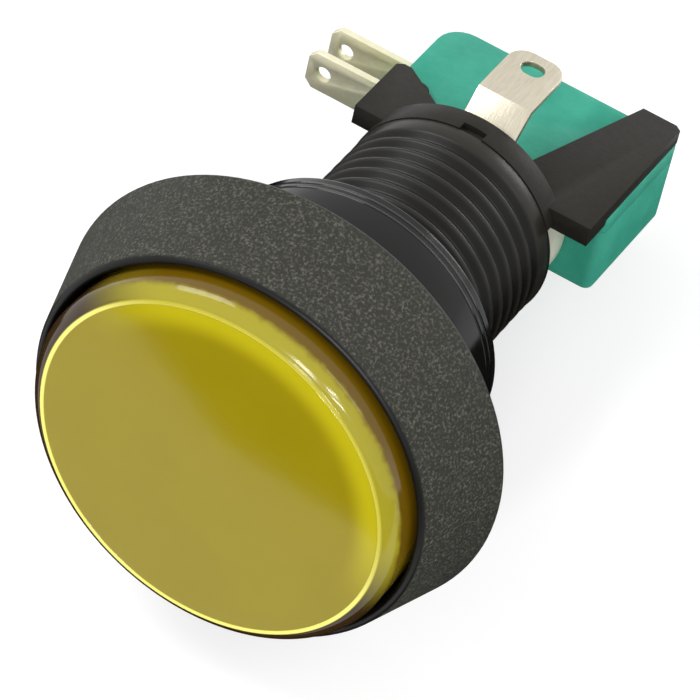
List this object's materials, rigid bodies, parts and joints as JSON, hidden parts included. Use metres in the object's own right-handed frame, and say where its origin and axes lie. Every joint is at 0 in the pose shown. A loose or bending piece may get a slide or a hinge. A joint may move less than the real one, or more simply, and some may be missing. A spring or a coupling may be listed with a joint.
{
  "type": "illuminated push button",
  "caption": "Illuminated push button: round lens in a flared bezel, screw-in barrel with a ring nut, lamp holder and a snap-action switch.",
  "frame": {"origin": "on the barrel's axis, in the plane of the bezel's rear face that seats on the panel", "axes": "+Z along the axis towards the lens, +X towards the end of the switch away from its two side tabs, +Y towards the switch cover"},
  "size_m": [0.0502, 0.0502, 0.0749],
  "materials": {
    "housing": "fine textured bezel, satin barrel",
    "lens_cap": "glossy translucent yellow",
    "diffuser": "frosted",
    "carrier": "moulded, satin",
    "return_spring": "drawn wire",
    "panel_nut": "glossy",
    "holder": "satin",
    "lamp_base": "satin",
    "lamp_bulb": "clear glass",
    "lamp_terminal_top": "tinned strip",
    "lamp_terminal_bottom": "tinned strip",
    "switch_case": "moulded, satin",
    "switch_cover": "moulded, satin",
    "switch_pin": "moulded",
    "switch_blade": "spring strip",
    "blade_contact": "silver contact",
    "com_terminal": "plated strip",
    "nc_terminal": "plated strip",
    "nc_contact": "silver contact",
    "no_terminal": "plated strip",
    "no_contact": "silver contact"
  },
  "bodies": {
    "body": {"housing": "housing", "return_spring": "return_spring", "holder": "holder", "lamp_base": "lamp_base", "lamp_bulb": "lamp_bulb", "lamp_terminal_top": "lamp_terminal_top", "lamp_terminal_bottom": "lamp_terminal_bottom", "switch_case": "switch_case", "switch_cover": "switch_cover", "com_terminal": "com_terminal", "nc_terminal": "nc_terminal", "nc_contact": "nc_contact", "no_terminal": "no_terminal", "no_contact": "no_contact"},
    "button": {"lens_cap": "lens_cap", "diffuser": "diffuser", "carrier": "carrier"},
    "nut": {"panel_nut": "panel_nut"},
    "pin": {"switch_pin": "switch_pin"},
    "blade": {"switch_blade": "switch_blade", "blade_contact": "blade_contact"}
  },
  "joints": [
    {"name": "button_press", "type": "slide", "parent": "body", "child": "button", "axis": [0, 0, -1], "range_m": [0, 0.003], "stiffness_N_per_m": 500, "springref_m": -0.002, "deforming": ["return_spring"]},
    {"name": "pin_press", "type": "slide", "parent": "body", "child": "pin", "axis": [0, 0, -1], "range_m": [0, 0.0012], "stiffness_N_per_m": 200, "springref_m": -0.001},
    {"name": "blade_flip", "type": "hinge", "parent": "body", "child": "blade", "pos_m": [0.008, 0, -0.04595], "axis": [0, -1, 0], "range_deg": [0, 2.82], "stiffness_Nm_per_rad": 0.02, "springref_deg": -5.73},
    {"name": "nut_turn", "type": "hinge", "parent": "body", "child": "nut", "pos_m": [0, 0, -0.0096], "axis": [0, 0, 1], "continuous": true}
  ],
  "couplings": [
    {"joint": "pin_press", "follows": "button_press", "ratio": 0.4},
    {"joint": "blade_flip", "follows": "button_press", "rad_per_m": 16.36}
  ]
}
